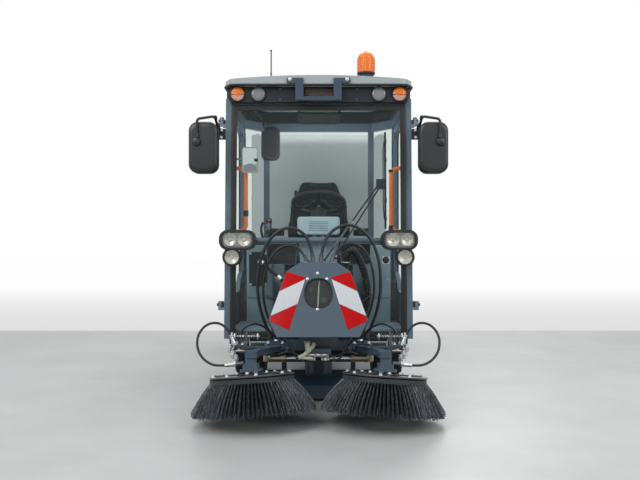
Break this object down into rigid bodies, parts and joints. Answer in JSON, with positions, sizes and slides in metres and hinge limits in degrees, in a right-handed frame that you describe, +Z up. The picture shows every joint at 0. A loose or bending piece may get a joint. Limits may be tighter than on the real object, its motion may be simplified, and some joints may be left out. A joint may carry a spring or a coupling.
{
  "type": "road sweeper",
  "caption": "Compact articulated street sweeper with a glazed cab, front side brushes, suction mouth and duct, and a rear-tipping hopper over the engine.",
  "frame": {"origin": "on the ground, midway along and across the machine", "axes": "-Y is the driving direction, +X the machine's left, +Z up"},
  "size_m": [1.548, 4.2515, 2.2079],
  "materials": {
    "anthracite_paint": "satin",
    "light_grey_paint": "satin",
    "black_plastic": "matte",
    "grey_plastic": "matte",
    "clear_glass": "polished",
    "lamp_lens": "polished",
    "mirror_glass": "polished",
    "tyre_rubber": "matte",
    "rim_paint": "satin",
    "bristles": "matte",
    "zinc_steel": "satin",
    "seat_fabric": "matte",
    "cast_engine": "cast",
    "hose_rubber": "matte"
  },
  "bodies": {
    "front_unit": {"cab_fittings": "grey_plastic", "cab_frame": "anthracite_paint", "cab_glazing": "clear_glass", "cab_roof": "light_grey_paint", "cab_shell": "grey_plastic", "duct_bellows": "black_plastic", "front_arches": "black_plastic", "front_carrier": "anthracite_paint", "front_frame": "anthracite_paint", "headlamp_housings": "black_plastic", "hose_lower_left": "hose_rubber", "hose_lower_right": "hose_rubber", "hose_upper_left": "hose_rubber", "hose_upper_right": "hose_rubber", "lamp_lenses": "lamp_lens", "mirror_glasses": "mirror_glass", "mirrors": "black_plastic", "roof_fittings": "black_plastic", "roof_lamp_panel": "black_plastic", "seat_back": "seat_fabric", "seat_base": "black_plastic", "seat_cushion": "seat_fabric", "suction_mouth": "black_plastic", "sweeper_hood": "anthracite_paint", "wiper": "black_plastic"},
    "rear_unit": {"rear_frame": "anthracite_paint", "rear_side_guards": "black_plastic", "engine_block": "cast_engine", "rear_covers": "anthracite_paint", "rear_lamps": "lamp_lens", "rear_duct": "black_plastic"},
    "wheel_front_left": {"tyre_front_left": "tyre_rubber", "rim_front_left": "rim_paint"},
    "wheel_front_right": {"tyre_front_right": "tyre_rubber", "rim_front_right": "rim_paint"},
    "wheel_rear_left": {"tyre_rear_left": "tyre_rubber", "rim_rear_left": "rim_paint"},
    "wheel_rear_right": {"tyre_rear_right": "tyre_rubber", "rim_rear_right": "rim_paint"},
    "door_left": {"door_left": "anthracite_paint", "door_glass_left": "clear_glass"},
    "door_right": {"door_right": "anthracite_paint", "door_glass_right": "clear_glass"},
    "steering_wheel": {"steering_wheel": "black_plastic"},
    "knuckle_left": {"knuckle_left": "anthracite_paint"},
    "knuckle_right": {"knuckle_right": "anthracite_paint"},
    "brush_arm_left": {"brush_arm_left": "anthracite_paint", "hose_motor_left": "hose_rubber"},
    "brush_arm_right": {"brush_arm_right": "anthracite_paint", "hose_motor_right": "hose_rubber"},
    "brush_left": {"brush_left": "bristles"},
    "brush_right": {"brush_right": "bristles"},
    "swing_barrel_left": {"swing_ram_barrel_left": "zinc_steel"},
    "swing_barrel_right": {"swing_ram_barrel_right": "zinc_steel"},
    "swing_rod_left": {"swing_ram_rod_left": "zinc_steel"},
    "swing_rod_right": {"swing_ram_rod_right": "zinc_steel"},
    "hopper": {"hopper": "light_grey_paint"},
    "hopper_flap": {"hopper_flap": "light_grey_paint"},
    "hopper_barrels": {"hopper_ram_barrels": "anthracite_paint"},
    "hopper_rods": {"hopper_ram_rods": "zinc_steel"}
  },
  "joints": [
    {"name": "articulation", "type": "hinge", "parent": "front_unit", "child": "rear_unit", "pos_m": [0, 0.348, 0.26], "axis": [0, 0, 1], "range_deg": [-35, 35], "deforming": ["duct_bellows"]},
    {"name": "wheel_front_left_spin", "type": "hinge", "parent": "front_unit", "child": "wheel_front_left", "pos_m": [0.475, -0.292, 0.32], "axis": [1, 0, 0], "continuous": true},
    {"name": "wheel_rear_left_spin", "type": "hinge", "parent": "rear_unit", "child": "wheel_rear_left", "pos_m": [0.475, 1.108, 0.32], "axis": [1, 0, 0], "continuous": true},
    {"name": "door_left_hinge", "type": "hinge", "parent": "front_unit", "child": "door_left", "pos_m": [0.596, -1.1293, 1.15], "axis": [0, -0.0702, -0.9975], "range_deg": [0, 75]},
    {"name": "brush_left_swing", "type": "hinge", "parent": "front_unit", "child": "knuckle_left", "pos_m": [0.238, -1.45, 0.37], "axis": [0, 0, 1], "range_deg": [0, 30]},
    {"name": "brush_left_lift", "type": "hinge", "parent": "knuckle_left", "child": "brush_arm_left", "pos_m": [0.238, -1.524, 0.371], "axis": [1, 0, 0], "range_deg": [-5, 5]},
    {"name": "brush_left_spin", "type": "hinge", "parent": "brush_arm_left", "child": "brush_left", "pos_m": [0.357, -1.762, 0.262], "axis": [0.0692, 0.1219, 0.9901], "continuous": true},
    {"name": "swing_barrel_left_hinge", "type": "hinge", "parent": "knuckle_left", "child": "swing_barrel_left", "pos_m": [0.295, -1.525, 0.314], "axis": [0, 0, -1], "range_deg": [0, 22.5]},
    {"name": "swing_rod_left_slide", "type": "slide", "parent": "swing_barrel_left", "child": "swing_rod_left", "axis": [-1, 0, 0], "range_m": [0, 0.035]},
    {"name": "wheel_front_right_spin", "type": "hinge", "parent": "front_unit", "child": "wheel_front_right", "pos_m": [-0.475, -0.292, 0.32], "axis": [1, 0, 0], "continuous": true},
    {"name": "wheel_rear_right_spin", "type": "hinge", "parent": "rear_unit", "child": "wheel_rear_right", "pos_m": [-0.475, 1.108, 0.32], "axis": [1, 0, 0], "continuous": true},
    {"name": "door_right_hinge", "type": "hinge", "parent": "front_unit", "child": "door_right", "pos_m": [-0.596, -1.1293, 1.15], "axis": [0, 0.0702, 0.9975], "range_deg": [0, 75]},
    {"name": "brush_right_swing", "type": "hinge", "parent": "front_unit", "child": "knuckle_right", "pos_m": [-0.238, -1.45, 0.37], "axis": [0, 0, -1], "range_deg": [0, 30]},
    {"name": "brush_right_lift", "type": "hinge", "parent": "knuckle_right", "child": "brush_arm_right", "pos_m": [-0.238, -1.524, 0.371], "axis": [1, 0, 0], "range_deg": [-5, 5]},
    {"name": "brush_right_spin", "type": "hinge", "parent": "brush_arm_right", "child": "brush_right", "pos_m": [-0.357, -1.762, 0.262], "axis": [-0.0692, 0.1219, 0.9901], "continuous": true},
    {"name": "swing_barrel_right_hinge", "type": "hinge", "parent": "knuckle_right", "child": "swing_barrel_right", "pos_m": [-0.295, -1.525, 0.314], "axis": [0, 0, 1], "range_deg": [0, 22.5]},
    {"name": "swing_rod_right_slide", "type": "slide", "parent": "swing_barrel_right", "child": "swing_rod_right", "axis": [1, 0, 0], "range_m": [0, 0.035]},
    {"name": "steering_wheel_turn", "type": "hinge", "parent": "front_unit", "child": "steering_wheel", "pos_m": [0, -0.65, 1.23], "axis": [0, 0.3746, 0.9272], "continuous": true},
    {"name": "hopper_tip", "type": "hinge", "parent": "rear_unit", "child": "hopper", "pos_m": [0, 1.948, 0.95], "axis": [-1, 0, 0], "range_deg": [0, 50]},
    {"name": "hopper_flap_hinge", "type": "hinge", "parent": "hopper", "child": "hopper_flap", "pos_m": [0, 2.07, 1.69], "axis": [1, 0, 0], "range_deg": [0, 80]},
    {"name": "hopper_barrels_hinge", "type": "hinge", "parent": "rear_unit", "child": "hopper_barrels", "pos_m": [0, 1.15, 0.42], "axis": [1, 0, 0], "range_deg": [0, 9.7]},
    {"name": "hopper_rods_slide", "type": "slide", "parent": "hopper_barrels", "child": "hopper_rods", "axis": [0, 0.7602, 0.6497], "range_m": [0, 0.17]}
  ],
  "couplings": [
    {"joint": "hopper_barrels_hinge", "follows": "hopper_tip", "ratio": 0.1914},
    {"joint": "hopper_rods_slide", "follows": "hopper_tip", "m_per_rad": 0.1909},
    {"joint": "swing_barrel_left_hinge", "follows": "brush_left_swing", "ratio": 0.745},
    {"joint": "swing_rod_left_slide", "follows": "brush_left_swing", "m_per_rad": 0.06475},
    {"joint": "swing_barrel_right_hinge", "follows": "brush_right_swing", "ratio": 0.745},
    {"joint": "swing_rod_right_slide", "follows": "brush_right_swing", "m_per_rad": 0.06475}
  ]
}
